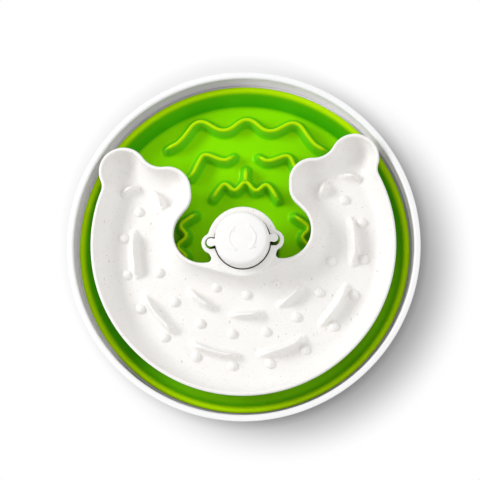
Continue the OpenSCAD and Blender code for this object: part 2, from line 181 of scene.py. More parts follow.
def lathe(profile, steps=TURN_STEPS):
    """A body of revolution. The profile runs anticlockwise, with the axis on its left."""
    points, rows = [], []
    for r, z in profile:
        if r < ON_AXIS:
            rows.append([len(points)] * steps)
            points.append((0, 0, z))
        else:
            rows.append(list(range(len(points), len(points) + steps)))
            points += [(r * cos(2 * pi * i / steps), r * sin(2 * pi * i / steps), z) for i in range(steps)]
    faces = []
    closed = profile[0][0] > ON_AXIS and profile[-1][0] > ON_AXIS
    pairs = list(zip(rows, rows[1:])) + ([(rows[-1], rows[0])] if closed else [])
    for low, high in pairs:
        for i in range(steps):
            k = (i + 1) % steps
            face = [low[i], low[k], high[k], high[i]]
            face = [v for n, v in enumerate(face) if v != face[n - 1]]
            if len(face) > 2:
                faces.append(face)
    return points, faces


def skin(rings, closed=False):
    """Skin over a stack of rings that run anticlockwise from above, with flat ends."""
    n = len(rings[0])
    points = [p for ring in rings for p in ring]
    pairs = [(j, j + 1) for j in range(len(rings) - 1)]
    if closed:
        pairs.append((len(rings) - 1, 0))
    faces = [(a * n + i, a * n + (i + 1) % n, b * n + (i + 1) % n, b * n + i)
             for a, b in pairs for i in range(n)]
    if not closed:
        faces.append(tuple(range(n - 1, -1, -1)))
        faces.append(tuple((len(rings) - 1) * n + i for i in range(n)))
    return points, faces


# Ridges and fins

CORNER_STEPS, END_STEPS = 12, 9
# How far a ridge's side may reach into the hollow of a bend, as a share of the bend's radius
HOLLOW_SHARE, STRAIGHT = 0.96, 1e-4
# How much nearer another ridge has to be before it takes over a face
COVER = 0.5


def unit(v):
    return v / max(1e-9, hypot(v[0], v[1]))


def whole(half):
    """A half line with its mirror image before it."""
    return [(-x, y) for x, y in half[:0:-1]] + half


def smooth_path(path, share, spacing):
    """A path with its corners rounded over a share of each side, at even spacing."""
    pts = [np.array(p, float) for p in path]
    fine = [pts[0]]
    for i in range(1, len(pts) - 1):
        p = pts[i] + share * (pts[i - 1] - pts[i])
        q = pts[i] + share * (pts[i + 1] - pts[i])
        for u in np.linspace(0, 1, CORNER_STEPS + 1):
            fine.append((1 - u) ** 2 * p + 2 * u * (1 - u) * pts[i] + u * u * q)
    fine.append(pts[-1])
    fine = np.array(fine)
    run = np.concatenate([[0], np.cumsum(np.hypot(*np.diff(fine, axis=0).T))])
    n = max(4, int(round(run[-1] / spacing)))
    at = np.linspace(0, run[-1], n + 1)
    return np.stack([np.interp(at, run, fine[:, 0]), np.interp(at, run, fine[:, 1])], 1)


def ridge_profile(h, crest_w, draft, fillet):
    """Distance from the middle and height, from the crest down to the foot of the fillet."""
    c = crest_w / 2
    lean = radians(draft)
    crest = [(c * sin(a), h - c + c * cos(a)) for a in np.linspace(0, pi / 2 - lean, 6)]
    x0, z0 = crest[-1]
    foot_z = fillet * (1 - sin(lean))
    foot_x = x0 + (z0 - foot_z) * tan(lean)
    side = [(x0 + (foot_x - x0) * u, z0 + (foot_z - z0) * u) for u in (0.2, 0.4, 0.6, 0.8)]
    cx = foot_x + fillet * cos(lean)
    foot = [(cx - fillet * cos(a), fillet - fillet * sin(a)) for a in np.linspace(lean, pi / 2, 6)]
    return np.array(crest + side + foot)


def round_end(i, way):
    """The spines that fan round a ridge's end, from its left side to its right."""
    base = atan2(way[1], way[0])
    angles = [base - pi * k / END_STEPS for k in range(1, END_STEPS)]
    return [(i, np.array([cos(a), sin(a)]), 0) for a in angles]


def ridge_patch(paths, z0, profile, droop, droop_l):
    """Ridges along paths, as one height field over the floor, with round ends that droop.

    Spines stand out from each path on both sides and fan round its ends. Their points take the
    height of the nearest path's profile, so that ridges that meet run into each other.
    """
    t_rows, z_rows = profile[:, 0], profile[:, 1]
    a = np.concatenate([p[:-1] for p in paths])
    b = np.concatenate([p[1:] for p in paths])
    run = []
    for p in paths:
        step = np.hypot(*np.diff(p, axis=0).T)
        s = np.concatenate([[0], np.cumsum(step)])
        run.append(np.stack([s[:-1], s[1:], np.full(len(step), s[-1])], 1))
    run = np.concatenate(run)

    def height(xy):
        d = b - a
        w = xy[:, None, :] - a[None]
        u = np.clip((w * d).sum(2) / (d * d).sum(1), 0, 1)
        gap = np.hypot(*(w - u[..., None] * d).transpose(2, 0, 1))
        near = gap.argmin(1)
        rows = np.arange(len(xy))
        dist = gap[rows, near]
        s = run[near, 0] + u[rows, near] * (run[near, 1] - run[near, 0])
        end = np.minimum(s, run[near, 2] - s)
        x = np.clip(end / droop_l, 0, 1)
        tall = 1 - droop * (1 - x) ** 2
        return np.interp(dist, t_rows, z_rows) * tall, dist

    points, faces = [], []
    for path in paths:
        n = len(path)
        along = np.array([unit(path[min(n - 1, i + 1)] - path[max(0, i - 1)]) for i in range(n)])
        left = np.stack([-along[:, 1], along[:, 0]], 1)
        bend = np.zeros(n)
        for i in range(1, n - 1):
            before, after = path[i] - path[i - 1], path[i + 1] - path[i]
            va, vb = unit(before), unit(after)
            turn = va[0] * vb[1] - va[1] * vb[0]
            bend[i] = turn / (0.5 * (hypot(*before) + hypot(*after)))
        spines = [(i, left[i], bend[i]) for i in range(n)]
        spines += round_end(n - 1, left[-1])
        spines += [(i, -left[i], -bend[i]) for i in range(n - 1, -1, -1)]
        spines += round_end(0, -left[0])
        first = len(points)
        xy = [path[i] for i in range(n)]
        for i, way, curve in spines:
            reach = HOLLOW_SHARE / curve if curve > STRAIGHT else t_rows[-1]
            xy += [path[i] + min(t, reach) * way for t in t_rows[1:]]
        xy = np.array(xy)
        z, dist = height(xy)
        points += [(p[0], p[1], z0 + q) for p, q in zip(xy, z)]
        m = len(t_rows) - 1
        for k in range(len(spines)):
            k2 = (k + 1) % len(spines)
            i, i2 = spines[k][0], spines[k2][0]
            s0, s1 = first + n + k * m, first + n + k2 * m
            faces.append((first + i, s0, s1) if i == i2 else (first + i, s0, s1, first + i2))
            for j in range(m - 1):
                covered = all(dist[v - first] < t_rows[j] - COVER for v in (s0 + j, s1 + j))
                if not covered:
                    faces.append((s0 + j, s0 + j + 1, s1 + j + 1, s1 + j))
    return points, faces


# Copies round the axis

def copies_tree():
    """Places copies of a piece round the axis and turns each by its own angle."""
    tree = bpy.data.node_groups.new("Copies round the axis", "GeometryNodeTree")
    sockets = tree.interface
    sockets.new_socket("Geometry", in_out="OUTPUT", socket_type="NodeSocketGeometry")
    for name, kind in (("Piece", "Object"), ("Copies", "Int"), ("Radius", "Float"),
                       ("First angle", "Float"), ("Step angle", "Float"), ("Finish", "Material")):
        sockets.new_socket(name, in_out="INPUT", socket_type="NodeSocket" + kind)

    def node(kind, linked, operation=None):
        made = tree.nodes.new(kind)
        if operation:
            made.operation = operation
        for socket, value in linked.items():
            tree.links.new(value, made.inputs[socket])
        return made.outputs

    given = node("NodeGroupInput", {})
    index = node("GeometryNodeInputIndex", {})[0]
    turns = {0: index, 1: given["Step angle"], 2: given["First angle"]}
    angle = node("ShaderNodeMath", turns, "MULTIPLY_ADD")[0]
    across = node("ShaderNodeMath", {0: angle}, "COSINE")[0]
    along = node("ShaderNodeMath", {0: angle}, "SINE")[0]
    circle = node("ShaderNodeCombineXYZ", {0: across, 1: along})[0]
    places = node("ShaderNodeVectorMath", {0: circle, "Scale": given["Radius"]}, "SCALE")[0]
    points = node("GeometryNodePoints", {"Count": given["Copies"], "Position": places})[0]
    euler = node("ShaderNodeCombineXYZ", {2: angle})[0]
    turn = node("FunctionNodeEulerToRotation", {0: euler})[0]
    piece = node("GeometryNodeObjectInfo", {"Object": given["Piece"]})["Geometry"]
    copies = node("GeometryNodeInstanceOnPoints", {"Points": points, "Instance": piece, "Rotation": turn})[0]
    real = node("GeometryNodeRealizeInstances", {0: copies})[0]
    painted = node("GeometryNodeSetMaterial", {"Geometry": real, "Material": given["Finish"]})[0]
    node("NodeGroupOutput", {0: painted})
    return tree


COPIES = copies_tree()


def round_the_axis(piece, copies, radius, first, step, finish):
    """Copies of a piece on a circle, each turned with its place, as one plain mesh."""
    holder = bpy.data.objects.new(piece.name + "_copies", bpy.data.meshes.new("copies"))
    bpy.context.scene.collection.objects.link(holder)
    modifier = holder.modifiers.new("Copies", "NODES")
    modifier.node_group = COPIES
    given = {"Piece": piece, "Copies": copies, "Radius": radius * MM, "First angle": radians(first),
             "Step angle": radians(step), "Finish": finish}
    for item in COPIES.interface.items_tree:
        if item.in_out == "INPUT":
            modifier[item.identifier] = given[item.name]
    bpy.context.view_layer.update()
    ready = holder.evaluated_get(bpy.context.evaluated_depsgraph_get())
    mesh = bpy.data.meshes.new_from_object(ready)
    bpy.data.objects.remove(holder)
    return mesh


def joined(name, meshes, pieces, finish, angle=0):
    """Several meshes and pieces as one piece, turned about the axis."""
    bm = bmesh.new()
    for mesh in meshes + [p.data for p in pieces]:
        bm.from_mesh(mesh)
    c, s = cos(radians(angle)), sin(radians(angle))
    for v in bm.verts:
        x, y = v.co.x, v.co.y
        v.co.x, v.co.y = c * x - s * y, s * x + c * y
    mesh = bpy.data.meshes.new(name)
    bm.to_mesh(mesh)
    bm.free()
    mesh.materials.clear()
    mesh.materials.append(finish)
    for piece in pieces:
        bpy.data.objects.remove(piece)
    made = bpy.data.objects.new(name, mesh)
    bpy.context.scene.collection.objects.link(made)
    return made


# Finishes

# Tones are linear red, green and blue
# Painted shade inside the keyhole, on the knob and the tray below the hub plate
KEYHOLE_SHADE_TONE = (0.045, 0.035, 0.028)
BOWL_TONE, KNOB_TONE = (0.90, 0.90, 0.90), (0.91, 0.905, 0.89)
# Painted light on the bowl's inner wall, tinted against the green bounce, and painted shade on its far side
WALL_PAINTED_LIGHT_TONE, FAR_WALL_SHADE_TONE = (0.96, 0.92, 0.98), (0.64, 0.61, 0.66)
# Painted shade in the slot and groove beside the dish's bead
SLOT_SHADE_TONE, GROOVE_SHADE_TONE = (0.5, 0.5, 0.505), (0.2, 0.2, 0.205)
TRAY_TONE, TRAY_CLOUD_TONE = (0.90, 0.885, 0.865), (0.875, 0.858, 0.836)
# Painted highlight on the crests and bead, lighter and yellower, and painted light on the near slope
DISH_TONE, CREST_HIGHLIGHT_TONE, DISH_SPECULAR = (0.235, 0.78, 0.001), (0.48, 0.82, 0.002), (0.62, 1.0, 0.02)
PAINTED_LIGHT_SLOPE_TONE, BEAD_HIGHLIGHT_TONE = (0.28, 0.85, 0.002), (0.48, 0.86, 0.001)
DISH_CLOUD_TONE, WHITE = (0.94, 0.96, 0.94), (1, 1, 1)
# A painted shadow round the column's foot
COLUMN_TONE, COLUMN_FOOT_SHADE_TONE = (0.2, 0.68, 0.001), (0.015, 0.06, 0.001)
# Painted shade on the collar and shoulder, seen through the keyhole
COLLAR_SHADE_TONE, DISH_BOUNCE = (0.01, 0.025, 0.001), (0.62, 0.6, 0.62)
RUBBER_DARK, RUBBER_LIGHT = (0.29, 0.29, 0.27), (0.36, 0.36, 0.34)
# Painted contact shadow on the floor near the bowl, in its colour and in its white glow
FLOOR_TONE, CONTACT_SHADE_TONE = (0.54, 0.54, 0.54), (0.3, 0.3, 0.3)
FLOOR_GLOW, CONTACT_SHADE_GLOW = WHITE, (0.88, 0.88, 0.88)

# Tones from the dish's floor (0) up to its bead (1): painted shade down the sides of the ridges and the
# slope, and a painted highlight, lighter and yellower, on the crests
RIDGE_SHADE_AND_HIGHLIGHT_RAMP = ((0.01, DISH_TONE), (0.06, (0.11, 0.66, 0.001)),
              (0.76, (0.17, 0.72, 0.001)), (0.85, CREST_HIGHLIGHT_TONE))
SLOPE_SHADE_RAMP = ((0.0, DISH_TONE), (0.16, (0.035, 0.41, 0.001)),
              (0.70, (0.07, 0.46, 0.001)), (0.9, (0.2, 0.6, 0.001)))

# Where a tone starts and where it is full, and for a band also where it starts to fade and ends.
# A way is a direction, as shares of x and y.
INSIDE_DEPTH = (1, 1.6)
WALL_HEIGHT = (INSERT_Z - 6, INSERT_Z - 2, RIM_Z - 6, RIM_Z - 2)
# Painted shade on the far side of the bowl's inner wall
FAR_WALL_SHADE_WAY, FAR_WALL_SHADE_SPAN = (-0.423, 0.906), (100, 120)
# Painted shade in the slot beside the bead, on the near right side
SLOT_SHADE_HEIGHT = (INSERT_Z - 5.5, INSERT_Z - 3.5, INSERT_Z - 2.4, INSERT_Z - 0.3)
SLOT_SHADE_WAY, SLOT_SHADE_SPAN = (1, -1), (-50, 60)
# A painted shadow line beside the bead, on the near side
GROOVE_SHADE_HEIGHT = (INSERT_Z - 3, INSERT_Z - 1.5, INSERT_Z + 1, INSERT_Z + 2.5)
GROOVE_SHADE_WAY, GROOVE_SHADE_SPAN = (-0.15, -1), (85, 105)
# Where the slope is, and where the bead's painted highlight lies
SLOPE_REACH, BEAD_HIGHLIGHT_REACH = (DISH_R - 4, DISH_R - 2), (DISH_TOP_R - 1.2, DISH_TOP_R + 1)
# Painted light that lifts the shade on the near side of the slope
PAINTED_LIGHT_WAY, PAINTED_LIGHT_SPAN, PAINTED_LIGHT_REACH = (0.5, -1), (20, 100), (INSERT_R - 4, INSERT_R - 9.5)
# The column's tone, and a painted shadow round the column's foot
COLUMN_REACH, COLUMN_FOOT_SHADE_REACH, COLUMN_FOOT_SHADE_HEIGHT = (25, 23), (27.5, 23.5), (DISH_Z + 6, DISH_Z + 2)
KEYHOLE_SHADE_Z, KNOB_SHADE_RISE = HUB_Z - 0.2, 0.9
# Where the painted shade on the collar and shoulder starts and is full
COLLAR_SHADE_HEIGHT = (KEYHOLE_SHADE_Z - 9, KEYHOLE_SHADE_Z - 6)
# The same for the keyhole's painted shade, from the edge of the hole, from an ear's edge and downwards
HOLE_SHADE, EAR_SHADE, SHADE_FADE = (0.9, 0.3), (1.8, 1.1), 0.8

# Straw specks: cells a metre, stretch, turn, width in a cell, share of empty cells, tone
SPECKS = ((260, (1, 0.5, 1), 20, 0.19, 0.72, (0.60, 0.47, 0.36)),
          (420, (0.55, 1, 1), 65, 0.23, 0.62, (0.68, 0.56, 0.46)),
          (700, (1, 0.7, 1), 110, 0.32, 0.45, (0.74, 0.66, 0.57)))
SPECK_CORE, SPECK_STRENGTH = 0.3, 0.9
GRAIN_STRENGTH, GRAIN_DETAIL = 0.35, 3
SMOOTHER, ROUGHER = 0.04, 0.05


class Look:
    """A finish in the making: its shader, and the sums that its tones are made of."""

    def __init__(self, name, roughness):
        self.finish = bpy.data.materials.new(name)
        self.finish.use_nodes = True
        self.nodes = self.finish.node_tree.nodes
        self.body = self.nodes["Principled BSDF"]
        self.shade("Roughness", roughness)
        self.place = self.mapped()
        self.x, self.y, self.z = self.node("SeparateXYZ", {"Vector": self.place})

    def give(self, socket, value):
        """Sets a socket to a number, size or colour, or links it to another node's result."""
        if isinstance(value, bpy.types.NodeSocket):
            self.finish.node_tree.links.new(value, socket)
        elif socket.type == "RGBA":
            socket.default_value = (*value, 1)
        else:
            socket.default_value = value

    def shade(self, socket, value):
        """Sets or links one of the shader's own sockets."""
        self.give(self.body.inputs[socket], value)

    def node(self, kind, given, **settings):
        """A new node's outputs, with its settings and inputs filled in."""
        made = self.nodes.new("ShaderNode" + kind)
        for name, value in settings.items():
            setattr(made, name, value)
        for socket, value in given.items():
            self.give(made.inputs[socket], value)
        return made.outputs

    def mapped(self, scale=(1, 1, 1), angle=0):
        """A point's place in the object, stretched and turned about the axis."""
        where = self.node("TexCoord", {})["Object"]
        turn = (0, 0, radians(angle))
        return self.node("Mapping", {"Vector": where, "Scale": scale, "Rotation": turn})["Vector"]

    def noise(self, scale, detail):
        return self.node("TexNoise", {"Vector": self.place, "Scale": scale, "Detail": detail})["Fac"]

    def grain(self, scale, height):
        """A fine moulded grain in the surface."""
        noise = self.noise(scale, GRAIN_DETAIL)
        bump = self.node("Bump", {"Strength": GRAIN_STRENGTH, "Distance": height, "Height": noise})
        self.shade("Normal", bump["Normal"])

    def ramp(self, value, stops):
        """The colour at a value, from stops of (value, colour)."""
        made = self.nodes.new("ShaderNodeValToRGB")
        elements = made.color_ramp.elements
        while len(elements) < len(stops):
            elements.new(0.5)
        for element, (at, colour) in zip(elements, stops):
            element.position = at
            element.color = (*colour, 1)
        self.give(made.inputs["Fac"], value)
        return made.outputs["Color"]

    def mixed(self, amount, first, second, mode="MIX"):
        return self.node("Mix", {0: amount, 6: first, 7: second}, data_type="RGBA", blend_type=mode)[2]

    def math(self, kind, first, second=0):
        return self.node("Math", {0: first, 1: second}, operation=kind)[0]

    def product(self, first, *more):
        for value in more:
            first = self.math("MULTIPLY", first, value)
        return first

    def distance(self, x, y):
        return self.math("SQRT", self.math("ADD", self.product(x, x), self.product(y, y)))

    def along(self, x_share, y_share):
        """How far a point lies along a way."""
        return self.math("ADD", self.product(self.x, x_share), self.product(self.y, y_share))

    def scaled(self, value, low, high, **settings):
        """Rises from 0 to 1 between two values."""
        given = {"Value": value, "From Min": low, "From Max": high}
        return self.node("MapRange", given, **settings)["Result"]

    def between(self, value, low, high, way="SMOOTHSTEP"):
        """Rises from 0 to 1 between two sizes in millimetres."""
        return self.scaled(value, low * MM, high * MM, interpolation_type=way)

    def band(self, value, low, full_low, full_high, high):
        """1 inside a band of sizes in millimetres, with soft ends."""
        return self.product(self.between(value, high, full_high), self.between(value, low, full_low))

    def keyhole_painted_shade(self, angle, reach, below):
        """Painted shade for the inside of the keyhole: below the plate's top, and near the knob or an ear.
        """
        x, y, z = self.node("SeparateXYZ", {"Vector": self.mapped(angle=-angle)})
        from_ear = self.distance(self.math("SUBTRACT", self.math("ABSOLUTE", x), EAR_X * MM), y)
        hole = self.between(self.distance(x, y), *(reach + out for out in HOLE_SHADE))
        ears = self.between(from_ear, *(EAR_R + out for out in EAR_SHADE))
        low = self.between(z, below, below - SHADE_FADE)
        return self.product(self.math("MAXIMUM", hole, ears), low)


def white_plastic(name, tone, roughness, cloud):
    """White plastic with faint clouds and a fine grain, and its tone so far."""
    look = Look(name, roughness)
    noise = look.noise(scale=45, detail=4)
    spread = {"Value": noise, "To Min": roughness - SMOOTHER, "To Max": roughness + ROUGHER}
    look.shade("Roughness", look.node("MapRange", spread)["Result"])
    look.grain(scale=1400, height=0.00002)
    darker = tuple(c * (1 - cloud) for c in tone)
    return look, look.ramp(noise, ((0.35, darker), (0.65, tone)))


def bowl_white():
    """The bowl's white, with painted light on its inner wall above the dish, painted shade on the far side
    of that wall, and painted shade in the slot and groove beside the dish's bead.
    """
    look, tone = white_plastic("bowl white plastic", BOWL_TONE, roughness=0.30, cloud=0.015)
    lean = tan(radians(BOWL_DRAFT))
    skin_r = RIM_R - RIM_Z * lean
    slant = look.math("SUBTRACT", look.distance(look.x, look.y), look.product(look.z, lean))
    inside = look.between(slant, *(skin_r - depth for depth in INSIDE_DEPTH))
    wall = look.product(inside, look.band(look.z, *WALL_HEIGHT))
    # Painted light: the inner wall above the dish is lighter, with a tint against the green bounce
    tone = look.mixed(wall, tone, WALL_PAINTED_LIGHT_TONE)
    # Painted shade on the far side of the inner wall
    far_wall_shade = look.product(wall, look.between(look.along(*FAR_WALL_SHADE_WAY), *FAR_WALL_SHADE_SPAN))
    tone = look.mixed(far_wall_shade, tone, FAR_WALL_SHADE_TONE)
    # Painted shade in the slot beside the bead
    slot = look.product(look.band(look.z, *SLOT_SHADE_HEIGHT), look.between(look.along(*SLOT_SHADE_WAY), *SLOT_SHADE_SPAN), inside)
    tone = look.mixed(slot, tone, SLOT_SHADE_TONE)
    # A painted shadow line beside the bead
    groove_shade = look.product(look.band(look.z, *GROOVE_SHADE_HEIGHT),
                          look.between(look.along(*GROOVE_SHADE_WAY), *GROOVE_SHADE_SPAN), inside)
    look.shade("Base Color", look.mixed(groove_shade, tone, GROOVE_SHADE_TONE))
    return look.finish


def knob_white():
    look, tone = white_plastic("knob white plastic", KNOB_TONE, roughness=0.36, cloud=0.03)
    # Painted shade inside the keyhole, on the knob below the plate
    gap = look.keyhole_painted_shade(KNOB_REST, KNOB_R, KEYHOLE_SHADE_Z + KNOB_SHADE_RISE)
    look.shade("Base Color", look.mixed(gap, tone, KEYHOLE_SHADE_TONE))
    return look.finish


def straw_plastic():
    """Warm white plastic with straw fibre in it, seen as fine tan specks."""
    look = Look("tray straw plastic", roughness=0.42)
    tone = look.ramp(look.noise(scale=28, detail=5), ((0.3, TRAY_CLOUD_TONE), (0.62, TRAY_TONE)))
    for scale, stretch, angle, width, empty, speck_tone in SPECKS:
        cells = look.node("TexVoronoi", {"Scale": scale, "Vector": look.mapped(stretch, angle)})
        speck = look.scaled(cells["Distance"], width, width * SPECK_CORE)
        chance = look.node("SeparateColor", {"Color": cells["Color"]})["Red"]
        few = look.product(look.scaled(chance, empty, 1), SPECK_STRENGTH)
        tone = look.mixed(look.product(speck, few), tone, speck_tone)
    # Painted shade inside the keyhole, on the tray below the plate
    gap = look.keyhole_painted_shade(TRAY_REST, COLLAR_R, KEYHOLE_SHADE_Z)
    look.shade("Base Color", look.mixed(gap, tone, KEYHOLE_SHADE_TONE))
    look.grain(scale=1100, height=0.00003)
    return look.finish


def lime_plastic():
    """Glossy lime plastic: bright floor, painted shade down the sides, and a painted highlight, lighter and
    yellower, on the crests and bead.

    Light that bounces off it as diffuse light is neutral, so that the white wall stays white.
    """
    look = Look("insert lime plastic", roughness=0.26)
    look.shade("Specular Tint", DISH_SPECULAR)
    reach = look.distance(look.x, look.y)
    up = look.between(look.z, DISH_Z, INSERT_Z, "LINEAR")
    on_slope = look.between(reach, *SLOPE_REACH)
    # Painted shade and highlight by height, on the ridges and on the slope
    tone = look.mixed(on_slope, look.ramp(up, RIDGE_SHADE_AND_HIGHLIGHT_RAMP), look.ramp(up, SLOPE_SHADE_RAMP))
    # Painted light on the near side of the slope
    painted_light = look.product(look.between(look.along(*PAINTED_LIGHT_WAY), *PAINTED_LIGHT_SPAN), look.between(reach, *PAINTED_LIGHT_REACH), on_slope)
    tone = look.mixed(painted_light, tone, PAINTED_LIGHT_SLOPE_TONE)
    # Painted highlight on the bead
    tone = look.mixed(look.between(reach, *BEAD_HIGHLIGHT_REACH), tone, BEAD_HIGHLIGHT_TONE)
    cloud = look.ramp(look.noise(scale=30, detail=3), ((0.3, DISH_CLOUD_TONE), (0.7, WHITE)))
    tone = look.mixed(1, tone, cloud, "MULTIPLY")
    tone = look.mixed(look.between(reach, *COLUMN_REACH), tone, COLUMN_TONE)
    # Painted shadow round the column's foot
    foot = look.product(look.between(reach, *COLUMN_FOOT_SHADE_REACH), look.between(look.z, *COLUMN_FOOT_SHADE_HEIGHT))
    tone = look.mixed(foot, tone, COLUMN_FOOT_SHADE_TONE)
    # Painted shade on the collar and shoulder, seen through the keyhole
    tone = look.mixed(look.between(look.z, *COLLAR_SHADE_HEIGHT), tone, COLLAR_SHADE_TONE)
    bounced = look.node("LightPath", {})["Is Diffuse Ray"]
    look.shade("Base Color", look.mixed(bounced, tone, DISH_BOUNCE))
    look.grain(scale=900, height=0.00001)
    return look.finish


def foot_rubber():
    look = Look("foot rubber", roughness=0.75)
    tone = look.ramp(look.noise(scale=500, detail=2), ((0.3, RUBBER_DARK), (0.7, RUBBER_LIGHT)))
    look.shade("Base Color", tone)
    look.grain(scale=1500, height=0.00005)
    return look.finish


BOWL_WHITE = bowl_white()
KNOB_WHITE = knob_white()
TRAY_STRAW = straw_plastic()
LIME = lime_plastic()
RUBBER = foot_rubber()


# Bowl and feet

# The rounded edge of the recess under the base: steps out from its radius, and heights
RECESS_EDGE = ((-0.4, 1), (0.2, 0.8), (0.9, 0.1), (1.4, 0))
RIM_OUTER_R, RIM_INNER_R, RIM_LIP, RIM_FLAT_W = 0.7, 1.9, 0.9, 0.8
BLEND_RISE, BLEND_H = 0.6, 4
LEDGE_GAP, LEDGE_T, LEDGE_CHAMFER, LEDGE_FILLET = 0.4, 1.2, 0.2, (0.25, 0.3)
# The inner corner stops short of the floor in degrees, and the floor starts this far inside the corner
INNER_CORNER_END, FLOOR_START = -80, 6
# The foot's underside: shares of its radius, and heights
FOOT_DIMPLE = ((0, 0.35), (0.55, 0.35), (0.62, 0.1), (0.68, 0))
FOOT_COUNT, FIRST_FOOT, FOOT_CHAMFER = 4, 45, 0.3


def bowl():
    recess_r = CORNER_X - FOOT_W - 2 * BOWL_WALL
    ledge_z = INSERT_Z - BEAD_H - FACE_GAP
    ledge_in, ledge_r = wall_in(ledge_z), INSERT_WALL_R + LEDGE_GAP
    ledge_foot = ledge_z - LEDGE_T - (ledge_in - ledge_r)
    band_in, band_z = RIM_R - RIM_BAND_W, RIM_Z - RIM_BAND_H
    rim_x = RIM_R - RIM_BAND_W / 2
    blend_z = band_z + BLEND_RISE
    blend_w = band_in - wall_in(blend_z - BLEND_H)
    profile = [(0, FOOT_PROUD + RECESS_EDGE[0][1])]
    profile += [(recess_r + out, FOOT_PROUD + up) for out, up in RECESS_EDGE]
    profile += arc(CORNER_X, CORNER_Z, BOWL_CORNER_R, -90, -BOWL_DRAFT, 20)
    profile += arc(RIM_R - RIM_OUTER_R, RIM_Z - RIM_OUTER_R, RIM_OUTER_R, -BOWL_DRAFT, 90, 10)
    profile += [(rim_x + RIM_FLAT_W, RIM_Z), (rim_x, RIM_Z)]
    profile += arc(band_in - RIM_LIP + RIM_INNER_R, RIM_Z - RIM_INNER_R, RIM_INNER_R, 90, 175, 10)
    for u in np.linspace(0, 1, 7):
        profile.append((band_in - blend_w * u * u * (3 - 2 * u), blend_z - BLEND_H * u))
    profile += [(ledge_in + LEDGE_FILLET[0], ledge_z + LEDGE_FILLET[1]), (ledge_in, ledge_z)]
    profile += [(ledge_r + LEDGE_CHAMFER, ledge_z)]
    profile += [(ledge_r, ledge_z - LEDGE_CHAMFER), (ledge_r, ledge_z - LEDGE_T)]
    profile += [(wall_in(ledge_foot), ledge_foot)]
    profile += arc(CORNER_X, CORNER_Z, BOWL_CORNER_R - BOWL_WALL, -BOWL_DRAFT, INNER_CORNER_END, 18)
    profile += [(CORNER_X - FLOOR_START, FOOT_PROUD + BASE_T), (0, FOOT_PROUD + BASE_T)]
    return build("bowl_shell", [lathe(profile)], BOWL_WHITE)


def feet():
    r, edge = FOOT_W / 2, FOOT_PROUD / 2
    profile = [(r * share, up) for share, up in FOOT_DIMPLE]
    profile += arc(r - edge, edge, edge, -90, 0, 6)
    profile += [(r, FOOT_T - FOOT_CHAMFER), (r - FOOT_CHAMFER, FOOT_T), (0, FOOT_T)]
    ring_r = CORNER_X - FOOT_W / 2 - FOOT_GAP
    made = []
    for i in range(FOOT_COUNT):
        points, faces = lathe(profile, SMALL_TURN_STEPS)
        a = radians(FIRST_FOOT + 360 / FOOT_COUNT * i)
        points = [(x + ring_r * cos(a), y + ring_r * sin(a), z) for x, y, z in points]
        made.append(build(f"rubber_foot_{i + 1}", [(points, faces)], RUBBER))
    return made


# Insert

COLUMN_CORE_R, COLUMN_WALL, COLUMN_FILLET_R = 15.8, 2, 4
SHOULDER_W, SHOULDER_T, COLLAR_H, COLLAR_CHAMFER = 1.7, 2.4, 2, 0.5
HUB_UNDER_Z = HUB_Z - HUB_T
SHOULDER_Z = HUB_UNDER_Z - FACE_GAP
COLLAR_Z = SHOULDER_Z + COLLAR_H
BORE_DEPTH, BEAD_CHAMFER = 10, 0.3
BORE_Z = COLLAR_Z - BORE_DEPTH
# From the bead into the slope: steps out from the slope's top, and steps up from the bead's top
BEAD_RUN = ((0.3, -1.15), (-0.7, -2.25), (-1.7, -3.55))
# The ridges of one quarter, as shares of the dish floor's radius
ZIG = [(0, 0.926), (0.154, 0.798), (0.342, 0.908), (0.464, 0.731), (0.552, 0.686)]
HOOK = [(0.088, 0.640), (0.150, 0.602), (0.295, 0.660), (0.338, 0.576), (0.362, 0.520), (0.388, 0.490)]
CROWN = [(0, 0.474), (0.072, 0.384), (0.148, 0.458), (0.226, 0.344)]
STEM_FOOT = (0, 0.55)
RIDGE_ROUNDING, RIDGE_SPACING, RIDGE_FILLET_R = 0.4, 0.9, 3.4
RIDGE_DROOP, RIDGE_DROOP_L = 0.2, 5


